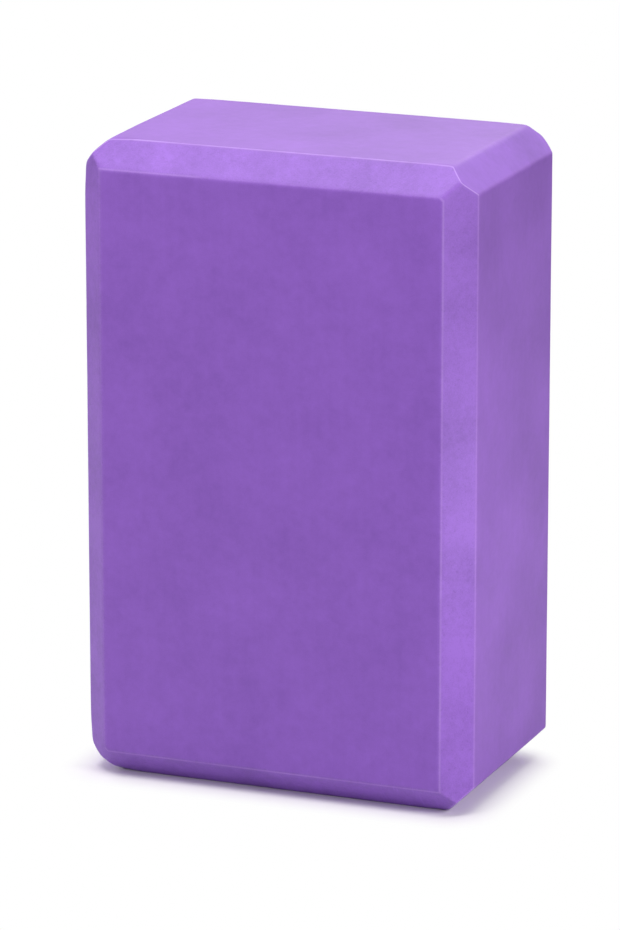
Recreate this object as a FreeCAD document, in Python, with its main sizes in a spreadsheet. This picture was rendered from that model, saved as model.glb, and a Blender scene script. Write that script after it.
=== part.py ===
import FreeCAD, Part
import os
import Sketcher

# Yoga block: one solid piece of closed-cell EVA foam that stands on its end.
# It is cut from a foam bun, bevelled along all twelve edges, and buffed until
# the arrises that the bevels leave are soft to the hand.
# Frame: origin at the middle of the bottom end, X across the width, Y through
# the thickness with the front at -Y, Z up along the length. Millimetres.

doc = FreeCAD.newDocument("YogaBlock")

# Driving dimensions.
sheet = doc.addObject("Spreadsheet::Sheet", "Dimensions")
dimensions = [
    ("block_width", 146.0),
    ("block_thickness", 94.0),
    ("block_length", 230.0),
    ("bevel_leg", 9.5),
    ("corner_radius", 4.5),
    ("face_arris_radius", 2.4),
    ("end_arris_radius", 1.0),
]
for row, (alias, size) in enumerate(dimensions, start=1):
    sheet.set(f"A{row}", alias)
    sheet.set(f"B{row}", str(size))
    sheet.setAlias(f"B{row}", alias)
doc.recompute()


def new_sketch(body, name, plane_role):
    """An empty sketch on the body's own origin plane with this role, such as XY_Plane."""
    plane = next(feature for feature in body.Origin.OriginFeatures if feature.Role == plane_role)
    sketch = body.newObject("Sketcher::SketchObject", name)
    sketch.AttachmentSupport = [(plane, "")]
    sketch.MapMode = "FlatFace"
    return sketch


def add_polygon(sketch, points, construction=False):
    """Draw a closed run of lines through the points, one line from each point to the next."""
    start, end = 1, 2
    lines = [
        sketch.addGeometry(Part.LineSegment(point, following), construction)
        for point, following in zip(points, points[1:] + points[:1])
    ]
    for line, following in zip(lines, lines[1:] + lines[:1]):
        sketch.addConstraint(Sketcher.Constraint("Coincident", line, end, following, start))
    return lines


def bind_length(sketch, line, name, alias):
    """Set a line's length and bind it to the sheet."""
    length = float(sheet.get(alias))
    constraint = sketch.addConstraint(Sketcher.Constraint("Distance", line, length))
    sketch.renameConstraint(constraint, name)
    sketch.setExpression(f"Constraints.{name}", f"Dimensions.{alias}")


def add_rectangle(sketch, width_alias, height_alias, standing, construction=False):
    """Draw a rectangle bound to the sheet, standing on the horizontal axis or centred."""
    start, end = 1, 2
    horizontal_axis, vertical_axis = -1, -2
    half_width = float(sheet.get(width_alias)) / 2
    height = float(sheet.get(height_alias))
    low = 0.0 if standing else -height / 2
    corners = [
        FreeCAD.Vector(-half_width, low, 0),
        FreeCAD.Vector(half_width, low, 0),
        FreeCAD.Vector(half_width, low + height, 0),
        FreeCAD.Vector(-half_width, low + height, 0),
    ]
    sides = add_polygon(sketch, corners, construction)
    bottom, right, top, left = sides
    sketch.addConstraint(Sketcher.Constraint("Horizontal", top))
    for side in (right, left):
        sketch.addConstraint(Sketcher.Constraint("Vertical", side))
    if standing:
        sketch.addConstraint(
            Sketcher.Constraint("Symmetric", bottom, start, bottom, end, vertical_axis)
        )
        sketch.addConstraint(Sketcher.Constraint("PointOnObject", bottom, start, horizontal_axis))
    else:
        sketch.addConstraint(Sketcher.Constraint("Horizontal", bottom))
        sketch.addConstraint(
            Sketcher.Constraint("Symmetric", bottom, start, top, start, horizontal_axis, start)
        )
    for name, side, alias in (
        ("width", bottom, width_alias),
        ("height", right, height_alias),
    ):
        bind_length(sketch, side, name, alias)
    return sides, corners


def add_bevel_cuts(sketch, width_alias, height_alias, standing, leg_alias):
    """Draw the triangle of foam that the bevel takes off at each corner of the outline."""
    start, end = 1, 2
    sides, corners = add_rectangle(sketch, width_alias, height_alias, standing, construction=True)
    leg = float(sheet.get(leg_alias))
    inward = [(1, 1), (-1, 1), (-1, -1), (1, -1)]
    first_leg = None
    for side, corner, (across, up) in zip(sides, corners, inward):
        along_width = corner + FreeCAD.Vector(across * leg, 0, 0)
        along_height = corner + FreeCAD.Vector(0, up * leg, 0)
        width_leg, bevel, height_leg = add_polygon(sketch, [corner, along_width, along_height])
        sketch.addConstraint(Sketcher.Constraint("Coincident", width_leg, start, side, start))
        sketch.addConstraint(Sketcher.Constraint("Horizontal", width_leg))
        sketch.addConstraint(Sketcher.Constraint("Vertical", height_leg))
        if first_leg is None:
            first_leg = width_leg
            bind_length(sketch, first_leg, "leg", leg_alias)
        else:
            sketch.addConstraint(Sketcher.Constraint("Equal", first_leg, width_leg))
        sketch.addConstraint(Sketcher.Constraint("Equal", first_leg, height_leg))


def edge_names(shape, wanted):
    """Names of the shape's edges that pass the test."""
    return [f"Edge{i}" for i, edge in enumerate(shape.Edges, start=1) if wanted(edge)]


def is_crease(shape, edge):
    """Whether the two faces beside an edge meet at an angle there."""
    middle = edge.valueAt((edge.FirstParameter + edge.LastParameter) / 2)
    normals = []
    for face in shape.ancestorsOfType(edge, Part.Face):
        u, v = face.Surface.parameter(middle)
        normals.append(face.normalAt(u, v))
    smooth_angle = 0.1
    return len(normals) == 2 and normals[0].getAngle(normals[1]) > smooth_angle


# The foam block, standing on its end, as it is cut square from the bun.
foam_block = doc.addObject("PartDesign::Body", "FoamBlock")
foam_block.Label = "foam_block"
foam_block.Placement = FreeCAD.Placement()

footprint = new_sketch(foam_block, "Footprint", "XY_Plane")
add_rectangle(footprint, "block_width", "block_thickness", standing=False)

blank = foam_block.newObject("PartDesign::Pad", "Blank")
blank.Profile = footprint
blank.setExpression("Length", "Dimensions.block_length")
doc.recompute()

# The edges are run past a 45 degree blade, four at a time in each direction.
# Each cut goes right through to the ends, so at every corner the three bevels
# meet in one point, with a mitre line running from it to each of the faces.
bevels = None
for name, plane_role, width_alias, height_alias, standing in (
    ("LengthBevels", "XY_Plane", "block_width", "block_thickness", False),
    ("WidthBevels", "YZ_Plane", "block_thickness", "block_length", True),
    ("ThicknessBevels", "XZ_Plane", "block_width", "block_length", True),
):
    cuts = new_sketch(foam_block, f"{name}Sketch", plane_role)
    add_bevel_cuts(cuts, width_alias, height_alias, standing, "bevel_leg")
    bevels = foam_block.newObject("PartDesign::Pocket", name)
    bevels.Profile = cuts
    bevels.SideType = "Symmetric"
    bevels.Type = "ThroughAll"
    doc.recompute()

# Buffing rounds the corners of the two large faces first: the mitre lines that
# start there are rubbed down to a soft turn from one bevel to the next.
half_thickness = float(sheet.get("block_thickness")) / 2


def ends_on_large_faces(edge):
    """How many of an edge's ends lie on the front or the back face."""
    return sum(abs(abs(vertex.Point.y) - half_thickness) < 0.001 for vertex in edge.Vertexes)


large_face_mitres = edge_names(bevels.Shape, lambda edge: ends_on_large_faces(edge) == 1)
corners = foam_block.newObject("PartDesign::Fillet", "Corners")
corners.Base = (bevels, large_face_mitres)
corners.setExpression("Radius", "Dimensions.corner_radius")
doc.recompute()

# The crease round each large face comes next. It is one closed loop now.
large_face_loops = edge_names(
    corners.Shape,
    lambda edge: ends_on_large_faces(edge) == 2 and is_crease(corners.Shape, edge),
)
face_arrises = foam_block.newObject("PartDesign::Fillet", "FaceArrises")
face_arrises.Base = (corners, large_face_loops)
face_arrises.setExpression("Radius", "Dimensions.face_arris_radius")
doc.recompute()

# The creases round the ends, the sides and the bevels between them are only
# broken, so they stay crisp.
remaining = edge_names(face_arrises.Shape, lambda edge: is_crease(face_arrises.Shape, edge))
end_arrises = foam_block.newObject("PartDesign::Fillet", "EndArrises")
end_arrises.Base = (face_arrises, remaining)
end_arrises.setExpression("Radius", "Dimensions.end_arris_radius")
foam_block.Tip = end_arrises
doc.recompute()

# Every object is checked before anything is written.
sub_parts = [foam_block]
for item in doc.Objects:
    if "Invalid" in item.State or "Error" in item.State:
        raise RuntimeError(f"{item.Label} did not recompute: {item.State}")
    if item.isDerivedFrom("Sketcher::SketchObject") and not item.FullyConstrained:
        raise RuntimeError(f"{item.Label} is not fully constrained")
for sub_part in sub_parts:
    if sub_part.Shape.isNull() or not sub_part.Shape.isValid():
        raise RuntimeError(f"{sub_part.Label} has no valid shape")
    if len(sub_part.Shape.Solids) != 1:
        raise RuntimeError(f"{sub_part.Label} is not one solid")

os.makedirs("parts", exist_ok=True)
for sub_part in sub_parts:
    sub_part.Shape.exportStep(f"parts/{sub_part.Label}.step")
    box = sub_part.Shape.BoundBox
    print(
        f"{sub_part.Label}: {box.XLength:.2f} x {box.YLength:.2f} x {box.ZLength:.2f} mm, "
        f"{sub_part.Shape.Volume / 1000:.1f} cm3, {len(sub_part.Shape.Faces)} faces"
    )
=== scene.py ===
import math

import bpy
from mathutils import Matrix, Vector


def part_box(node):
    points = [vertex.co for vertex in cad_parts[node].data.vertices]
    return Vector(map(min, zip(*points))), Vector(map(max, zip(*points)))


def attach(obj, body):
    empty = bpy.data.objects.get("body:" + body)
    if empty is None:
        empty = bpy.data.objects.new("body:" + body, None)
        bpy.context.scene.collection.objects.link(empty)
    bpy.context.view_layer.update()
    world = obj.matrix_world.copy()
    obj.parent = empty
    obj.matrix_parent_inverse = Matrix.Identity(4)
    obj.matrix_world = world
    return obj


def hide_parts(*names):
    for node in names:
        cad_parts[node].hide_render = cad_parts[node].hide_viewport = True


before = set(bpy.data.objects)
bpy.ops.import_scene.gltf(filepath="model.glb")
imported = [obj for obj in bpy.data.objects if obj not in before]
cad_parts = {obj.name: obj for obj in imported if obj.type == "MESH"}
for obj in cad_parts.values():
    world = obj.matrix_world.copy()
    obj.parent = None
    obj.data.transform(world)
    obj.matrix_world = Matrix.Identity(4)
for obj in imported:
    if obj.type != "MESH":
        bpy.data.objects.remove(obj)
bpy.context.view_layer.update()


# The block: one solid piece of closed-cell EVA foam, dyed purple right through.
# It is sawn from a bun, run past a 45 degree blade along all twelve edges, and
# buffed by hand, which leaves soft arrises, a dull skin and faint rub marks.
block_low, block_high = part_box("foam_block")
block_size = block_high - block_low
block_centre = (block_low + block_high) / 2
bevel_leg = 0.0095
blade_cosine = math.sqrt(0.5)

bpy.ops.object.select_all(action="DESELECT")
bpy.ops.mesh.primitive_cube_add(size=1, location=block_centre, scale=block_size)
block = bpy.context.object
block.name = "buffed_block"
bpy.ops.object.transform_apply(location=True, rotation=True, scale=True)

# The blade's bevels. At each corner the small triangle that lies between three of them
# is drawn out to the point where they meet, which makes the mitres.
corner_rise = bevel_leg / 2 / math.sqrt(3)
flat_turn = math.radians(1)
bpy.ops.object.mode_set(mode="EDIT")
bpy.ops.mesh.select_mode(type="FACE")
bpy.ops.mesh.select_all(action="SELECT")
bpy.ops.mesh.bevel(offset_type="OFFSET", offset=bevel_leg, segments=1, affect="EDGES")
bpy.ops.mesh.select_all(action="DESELECT")
bpy.ops.mesh.select_face_by_sides(number=3, type="EQUAL")
bpy.ops.mesh.poke(offset=corner_rise)
bpy.ops.mesh.select_all(action="SELECT")
bpy.ops.mesh.dissolve_limited(angle_limit=flat_turn)

# A net of cuts over the whole skin, fine at the bevels and wider on the faces.
fine_pitch, wide_pitch, fine_reach = 0.0005, 0.004, 0.0125
for axis in range(3):
    normal = Vector((0, 0, 0))
    normal[axis] = 1
    wide_span = block_size[axis] - 2 * fine_reach
    fine_cuts = round(fine_reach / fine_pitch)
    wide_cuts = round(wide_span / wide_pitch)
    insets = [fine_pitch * i for i in range(1, fine_cuts + 1)]
    insets += [block_size[axis] - inset for inset in insets]
    insets += [fine_reach + wide_span * i / wide_cuts for i in range(1, wide_cuts)]
    for inset in insets:
        bpy.ops.mesh.select_all(action="SELECT")
        bpy.ops.mesh.bisect(plane_co=block_low + normal * inset, plane_no=normal)
bpy.ops.object.mode_set(mode="OBJECT")


def insets_of(point):
    """How far in a point lies from the nearest side, large face and end."""
    return [block_size[i] / 2 - abs(point[i] - block_centre[i]) for i in range(3)]


# Buffing takes the mitres off at some corners of the large faces, as it happened by
# hand. At five corners the bevel turns as part of a cone. At one the mitre is part of
# a cylinder that touches both bevels.
cone_radii = {
    ("front", "left", "bottom"): 0.0113,
    ("back", "left", "top"): 0.0085,
    ("back", "right", "top"): 0.0100,
    ("back", "left", "bottom"): 0.0105,
    ("back", "right", "bottom"): 0.0090,
}
mitre_radii = {("front", "right", "top"): 0.0030}
for vertex in block.data.vertices:
    from_side, from_face, from_end = insets_of(vertex.co)
    corner = (
        "back" if vertex.co.y > block_centre.y else "front",
        "right" if vertex.co.x > block_centre.x else "left",
        "top" if vertex.co.z > block_centre.z else "bottom",
    )
    sunk = from_face
    radius = cone_radii.get(corner, 0)
    if from_side < radius and from_end < radius:
        rim = math.hypot(radius - from_side, radius - from_end)
        sunk = max(sunk, bevel_leg - radius + rim)
    radius = mitre_radii.get(corner, 0)
    aside = from_side - from_end
    if abs(aside) < radius * math.sqrt(0.5):
        arc = math.sqrt(1.5 * radius**2 - 0.75 * aside**2)
        middle = (from_side + from_end) / 2
        sunk = max(sunk, bevel_leg - middle + math.sqrt(2) * radius - arc)
    toward_face = 1 if vertex.co.y > block_centre.y else -1
    vertex.co.y = block_centre.y + toward_face * (block_size.y / 2 - sunk)

# The creases round the bevels that border the large faces are paled, partly as wear from
# handling and partly as a painted highlight: most at the small bevels between the ends and
# sides, least at the left of a large face and above it, where the painted highlight keeps to the
# left.
least_tilt, most_tilt, leaning = 0.3, 0.95, 0.5
sharp_turn = math.radians(15)
left_shine_end = -0.030
face_shine, faint_face_shine = 0.25, 0.08
small_bevel_shine, top_end_shine, other_shine = 0.70, 0.50, 0.24
normals_beside = {}
for face in block.data.polygons:
    for edge in face.edge_keys:
        normals_beside.setdefault(edge, []).append(face.normal)
wear_and_highlight = block.data.attributes.new("wear_and_highlight", "FLOAT", "POINT")
for edge, (first, second) in normals_beside.items():
    borders = [least_tilt < abs(normal.y) < most_tilt for normal in (first, second)]
    if borders[0] == borders[1] or first.angle(second) < sharp_turn:
        continue
    bevel, plane = (first, second) if borders[0] else (second, first)
    if abs(plane.y) > most_tilt:
        across = block.data.vertices[edge[0]].co.x - block_centre.x
        faint = bevel.x < -leaning or (bevel.z > leaning and across > left_shine_end)
        shine = faint_face_shine if faint else face_shine
    elif abs(plane.x) > leaning and abs(plane.z) > leaning:
        shine = small_bevel_shine
    else:
        shine = top_end_shine if bevel.z > leaning else other_shine
    for end in edge:
        wear_and_highlight.data[end].value = max(wear_and_highlight.data[end].value, shine)


def rub(first_planes, second_planes, reach, strokes, left_depth=None):
    """Smooth the skin where a plane of the first kind meets one of the second.

    With a left depth, only the left half is smoothed, that far back from the front.
    """
    bpy.ops.object.mode_set(mode="EDIT")
    bpy.ops.mesh.select_mode(type="VERT")
    bpy.ops.mesh.select_all(action="DESELECT")
    bpy.ops.object.mode_set(mode="OBJECT")
    for vertex in block.data.vertices:
        from_side, from_face, from_end = insets_of(vertex.co)
        under = {
            "side": from_side,
            "face": from_face,
            "end": from_end,
            "long_bevel": (from_side + from_face - bevel_leg) * blade_cosine,
            "wide_bevel": (from_face + from_end - bevel_leg) * blade_cosine,
            "deep_bevel": (from_side + from_end - bevel_leg) * blade_cosine,
        }
        near = {plane for plane in under if under[plane] < reach}
        reached = left_depth is None or (
            vertex.co.x < block_centre.x and vertex.co.y < block_low.y + left_depth
        )
        vertex.select = reached and any(
            {first, second} <= near and first != second
            for first in first_planes
            for second in second_planes
        )
    bpy.ops.object.mode_set(mode="EDIT")
    bpy.ops.mesh.vertices_smooth(factor=0.5, repeat=strokes)
    bpy.ops.object.mode_set(mode="OBJECT")


# The creases across the ends are rubbed down most, and at the left of the front those
# across the side too, more the nearer to the front. The creases above and below each
# large face come next, then those beside it. Every other crease is only broken.
bevels = ("long_bevel", "wide_bevel", "deep_bevel")
rub(("face",), ("wide_bevel",), reach=0.0024, strokes=5)
rub(("face",), ("long_bevel",), reach=0.0020, strokes=3)
rub(("end",), ("deep_bevel",), reach=0.0030, strokes=10)
for left_depth in (0.032, 0.024, 0.016):
    rub(("side", "end"), ("deep_bevel",), reach=0.0050, strokes=8, left_depth=left_depth)
rub(("side", "face", "end") + bevels, bevels, reach=0.0015, strokes=2)

# The saw and the belt leave shallow waves in the skin.
for name, wave_length, depth in (("saw_wave", 0.050, 0.00012), ("skin_wave", 0.012, 0.00004)):
    wave = bpy.data.textures.new(name, "CLOUDS")
    wave.noise_scale = wave_length
    wave.noise_depth = 1
    sinking = block.modifiers.new(name, "DISPLACE")
    sinking.texture = wave
    sinking.texture_coords = "LOCAL"
    sinking.mid_level = 1.0
    sinking.strength = depth
    bpy.ops.object.modifier_apply(modifier=sinking.name)

bpy.ops.object.shade_smooth()
levelling = block.modifiers.new("levelling", "WEIGHTED_NORMAL")
levelling.keep_sharp = False
bpy.ops.object.modifier_apply(modifier=levelling.name)


class Shade:
    """A shader socket in a material; sums on it add Math nodes."""

    def __init__(self, tree, socket):
        self.tree = tree
        self.socket = socket

    @classmethod
    def node(cls, tree, kind, settings=(), sockets=()):
        """Add a node: its settings first, then the values or links of its sockets."""
        made = tree.nodes.new(kind)
        for name, value in dict(settings).items():
            setattr(made, name, value)
        for name, value in dict(sockets).items():
            if isinstance(value, Shade):
                tree.links.new(value.socket, made.inputs[name])
            else:
                made.inputs[name].default_value = value
        return made

    def math(self, operation, first, second):
        """The result of a Math node on two values or sockets."""
        sockets = {0: first, 1: second}
        made = self.node(self.tree, "ShaderNodeMath", {"operation": operation}, sockets)
        return Shade(self.tree, made.outputs[0])

    def __add__(self, other):
        return self.math("ADD", self, other)

    def __radd__(self, other):
        return self.math("ADD", other, self)

    def __sub__(self, other):
        return self.math("SUBTRACT", self, other)

    def __rsub__(self, other):
        return self.math("SUBTRACT", other, self)

    def __mul__(self, other):
        return self.math("MULTIPLY", self, other)

    def __rmul__(self, other):
        return self.math("MULTIPLY", other, self)


def vector_sum(operation, first, second=(0, 0, 0)):
    """A sum on two vectors, of which at least one is a socket."""
    tree = first.tree if isinstance(first, Shade) else second.tree
    made = Shade.node(tree, "ShaderNodeVectorMath", {"operation": operation}, {0: first, 1: second})
    return Shade(tree, made.outputs[0])


def ramp(value, start, end, low=0.0, high=1.0):
    """A soft ramp from low to high while the value goes from start to end."""
    made = Shade.node(
        value.tree,
        "ShaderNodeMapRange",
        {"interpolation_type": "SMOOTHSTEP"},
        {"Value": value, "From Min": start, "From Max": end, "To Min": low, "To Max": high},
    )
    return Shade(value.tree, made.outputs["Result"])


def mixed_colour(share, first, second):
    """A colour between two others, with this share of the second."""
    first_socket, second_socket, result_socket = 6, 7, 2
    made = Shade.node(
        share.tree,
        "ShaderNodeMix",
        {"data_type": "RGBA"},
        {"Factor": share, first_socket: first, second_socket: second},
    )
    return Shade(share.tree, made.outputs[result_socket])


foam = bpy.data.materials.new("buffed_foam")
foam.use_nodes = True
skin = foam.node_tree
skin.nodes.clear()
place = Shade(skin, Shade.node(skin, "ShaderNodeTexCoord").outputs["Object"])


def foam_noise(stretch, detail=2.0, roughness=0.5, where=place):
    """Noise over the foam, with this many lumps to the metre along each axis."""
    made = Shade.node(
        skin,
        "ShaderNodeTexNoise",
        {"noise_dimensions": "3D"},
        {
            "Vector": vector_sum("MULTIPLY", where, stretch),
            "Scale": 1.0,
            "Detail": detail,
            "Roughness": roughness,
        },
    )
    return Shade(skin, made.outputs["Fac"])


# How deep a point lies below the planes of the sides, large faces, ends and bevels, and
# from that, which of them it is on.
depths = vector_sum(
    "SUBTRACT",
    block_size / 2,
    vector_sum("ABSOLUTE", vector_sum("SUBTRACT", place, block_centre)),
)
depth_axes = Shade.node(skin, "ShaderNodeSeparateXYZ", {}, {"Vector": depths})
under_side, under_face, under_end = [Shade(skin, socket) for socket in depth_axes.outputs]
under_long_bevel = (under_side + under_face - bevel_leg) * blade_cosine
under_wide_bevel = (under_face + under_end - bevel_leg) * blade_cosine
under_deep_bevel = (under_side + under_end - bevel_leg) * blade_cosine
skin_depth = 0.0012
on_side, on_large_face, on_end = [
    ramp(under, 0.0, skin_depth, 1.0, 0.0) for under in (under_side, under_face, under_end)
]
on_long_bevel, on_wide_bevel, on_deep_bevel = [
    ramp(under, 0.0, skin_depth, 1.0, 0.0)
    for under in (under_long_bevel, under_wide_bevel, under_deep_bevel)
]

# The belt left bands across each bevel, and a rougher grain, pits and fine slanting
# scratches on the bevels that border the large faces.
bands = (
    on_long_bevel * (foam_noise((50, 50, 85)) - 0.5)
    + on_wide_bevel * (foam_noise((85, 50, 50)) - 0.5)
    + on_deep_bevel * (foam_noise((50, 85, 50)) - 0.5)
)
buffed = on_long_bevel + on_wide_bevel
grain = buffed * (foam_noise((450, 450, 450), detail=3.0, roughness=0.7) - 0.5)
pits = buffed * ramp(foam_noise((1100, 1100, 1100), detail=0.0), 0.28, 0.22)
slant = Shade.node(
    skin,
    "ShaderNodeMapping",
    {},
    {"Vector": place, "Rotation": (math.radians(-45), 0, math.radians(40))},
)
scratches = (
    on_wide_bevel
    * ramp(foam_noise((1500, 90, 90), where=Shade(skin, slant.outputs[0])), 0.58, 0.70)
    * ramp(foam_noise((26, 26, 26)), 0.50, 0.60)
)

# The faces have a mottled skin with faint upright rub marks, and the sides and ends,
# which are sawn, are cloudier than the large faces. The belt lightens the bevels down
# the length and through the thickness.
mottle = foam_noise((200, 200, 200), detail=4.0, roughness=0.65)
cloud = foam_noise((28, 28, 28), detail=1.0)
streak = foam_noise((420, 420, 14))
cells = foam_noise((2300, 2300, 2300), detail=1.0)
tone = (
    0.5
    + (mottle - 0.5) * 0.9
    + (cloud - 0.5) * (1.6 - on_large_face * 0.9)
    + (streak - 0.5) * 0.2
    + (cells - 0.5) * (0.4 + buffed * 0.6)
    + bands * 0.8
    + on_long_bevel * 0.15
    + on_deep_bevel * 0.30
    + grain
    + scratches * 0.4
    - pits * 0.3
)
purple = mixed_colour(tone, (0.203, 0.076, 0.425, 1), (0.283, 0.112, 0.569, 1))

# The saw leaves the sides and ends a little greyer. Buffing pales the bevels slightly,
# and the creases are paled unevenly: partly wear from handling, partly a painted highlight.
sawn_purple, worn_and_highlight_purple = (0.25, 0.10, 0.36, 1), (0.55, 0.36, 0.79, 1)
sawn = mixed_colour(on_side * 0.13 + on_end * 0.22, purple, sawn_purple)
# This crease mask paints a highlight along the creases, on top of their wear.
wear_and_highlight_mask = Shade.node(skin, "ShaderNodeAttribute", {"attribute_name": "wear_and_highlight"})
uneven = 0.4 + foam_noise((60, 60, 60)) * 1.2
paled = on_long_bevel * 0.035 + on_wide_bevel * 0.04 + on_deep_bevel * 0.015
worn_and_highlit = mixed_colour(uneven * Shade(skin, wear_and_highlight_mask.outputs["Fac"]) + paled, sawn, worn_and_highlight_purple)

relief = Shade.node(
    skin,
    "ShaderNodeBump",
    {},
    {
        "Strength": 0.25,
        "Distance": 0.0002,
        "Height": cells * 0.6 + mottle * 0.5 + grain - pits - scratches * 0.5,
    },
)
surface = Shade.node(
    skin,
    "ShaderNodeBsdfPrincipled",
    {},
    {
        "Base Color": worn_and_highlit,
        "Roughness": 0.5 + (cells - 0.5) * 0.1,
        "IOR": 1.45,
        "Normal": Shade(skin, relief.outputs["Normal"]),
    },
)
Shade.node(skin, "ShaderNodeOutputMaterial", {}, {"Surface": Shade(skin, surface.outputs[0])})
block.data.materials.append(foam)

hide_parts("foam_block")
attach(block, "root")


# The floor: a matt white sweep, wide enough to fill the picture. What the camera
# sees of it is lifted to white away from the block, and the shadow stays beside it.
bpy.ops.object.select_all(action="DESELECT")
bpy.ops.mesh.primitive_plane_add(size=14, location=(0, 0, 0))
floor = bpy.context.object
floor.name = "floor"
paper = bpy.data.materials.new("white_paper")
paper.use_nodes = True
sheet = paper.node_tree
sheet.nodes.clear()
seen = Shade(sheet, Shade.node(sheet, "ShaderNodeLightPath").outputs["Is Camera Ray"])
white = mixed_colour(seen, (0.80, 0.80, 0.80, 1), (0.86, 0.82, 0.86, 1))
matt = Shade.node(sheet, "ShaderNodeBsdfDiffuse", {}, {"Color": white})
bright = Shade.node(sheet, "ShaderNodeEmission", {}, {"Color": (1, 1, 1, 1), "Strength": 1.0})

# The shadow is kept round the foot of the block, and stops a little short of its back.
foot_shift, shadow_start, shadow_end = 0.008, 0.002, 0.021
foot = (block_size.x / 2 - bevel_leg, block_size.y / 2 - bevel_leg - foot_shift, 0)
spot = Shade(sheet, Shade.node(sheet, "ShaderNodeTexCoord").outputs["Object"])
spot = vector_sum("ABSOLUTE", vector_sum("SUBTRACT", spot, (0, -foot_shift, 0)))
spot = vector_sum("MAXIMUM", vector_sum("SUBTRACT", spot, foot))
away = Shade.node(sheet, "ShaderNodeVectorMath", {"operation": "LENGTH"}, {0: spot})
clear = ramp(Shade(sheet, away.outputs["Value"]), shadow_start, shadow_end)
sweep = Shade.node(
    sheet,
    "ShaderNodeMixShader",
    {},
    {
        0: seen * clear,
        1: Shade(sheet, matt.outputs[0]),
        2: Shade(sheet, bright.outputs[0]),
    },
)
Shade.node(sheet, "ShaderNodeOutputMaterial", {}, {"Surface": Shade(sheet, sweep.outputs[0])})
floor.data.materials.append(paper)


# The studio: a white surround that only shows, and soft boxes that light the block
# from above, from both sides and from behind. The one at the back left is set so that
# it leaves no gloss.
studio = bpy.data.worlds.new("surround")
bpy.context.scene.world = studio
studio.use_nodes = True
surround = studio.node_tree
surround.nodes.clear()
ray = Shade.node(surround, "ShaderNodeLightPath")
shown, mirrored, passed = [
    Shade(surround, ray.outputs[f"Is {kind} Ray"]) for kind in ("Camera", "Glossy", "Transmission")
]
cloth = Shade.node(
    surround,
    "ShaderNodeBackground",
    {},
    {"Color": (1, 1, 1, 1), "Strength": shown + mirrored + passed},
)
Shade.node(surround, "ShaderNodeOutputWorld", {}, {"Surface": Shade(surround, cloth.outputs[0])})

aim = Vector((0, 0, 0.12))
for name, stand, width, height, watts in (
    ("top_box", (0.0, -0.05, 0.95), 0.6, 0.5, 3.62),
    ("top_front_box", (-0.1, -0.28, 0.62), 0.25, 0.2, 1.05),
    ("top_left_box", (-0.7, 0.1, 1.3), 0.8, 0.8, 2.0),
    ("top_back_box", (0.0, 1.2, 1.0), 0.9, 0.6, 4.2),
    ("right_box", (2.2, -0.7, 1.5), 0.9, 0.9, 28.5),
    ("right_front_box", (0.6, -0.5, 0.18), 0.3, 0.3, 1.15),
    ("right_low_box", (0.17, -0.07, 0.09), 0.06, 0.06, 0.034),
    ("left_front_box", (-0.6, -0.4, 0.3), 0.3, 0.3, 1.42),
    ("back_left_box", (-0.45, 0.62, 0.12), 0.3, 0.16, 5.0),
):
    bpy.ops.object.light_add(type="AREA", location=stand)
    lamp = bpy.context.object
    lamp.name = name
    lamp.data.shape = "RECTANGLE"
    lamp.data.size = width
    lamp.data.size_y = height
    lamp.data.energy = watts
    lamp.rotation_euler = (aim - lamp.location).to_track_quat("-Z", "Y").to_euler()
    lamp.visible_camera = False
    lamp.visible_glossy = name != "back_left_box"


# The camera: a long lens in front of the block, a little to its right and above it,
# that looks down on it without leaning to either side.
yaw, pitch = math.radians(21.828), math.radians(15.119)
bpy.ops.object.camera_add(
    location=(0.6951, -1.7444, 0.6166), rotation=(math.pi / 2 - pitch, 0, yaw)
)
camera = bpy.context.object
camera.data.lens = 212.78
camera.data.sensor_width = 36
bpy.context.scene.camera = camera
bpy.context.scene.view_settings.view_transform = "Standard"
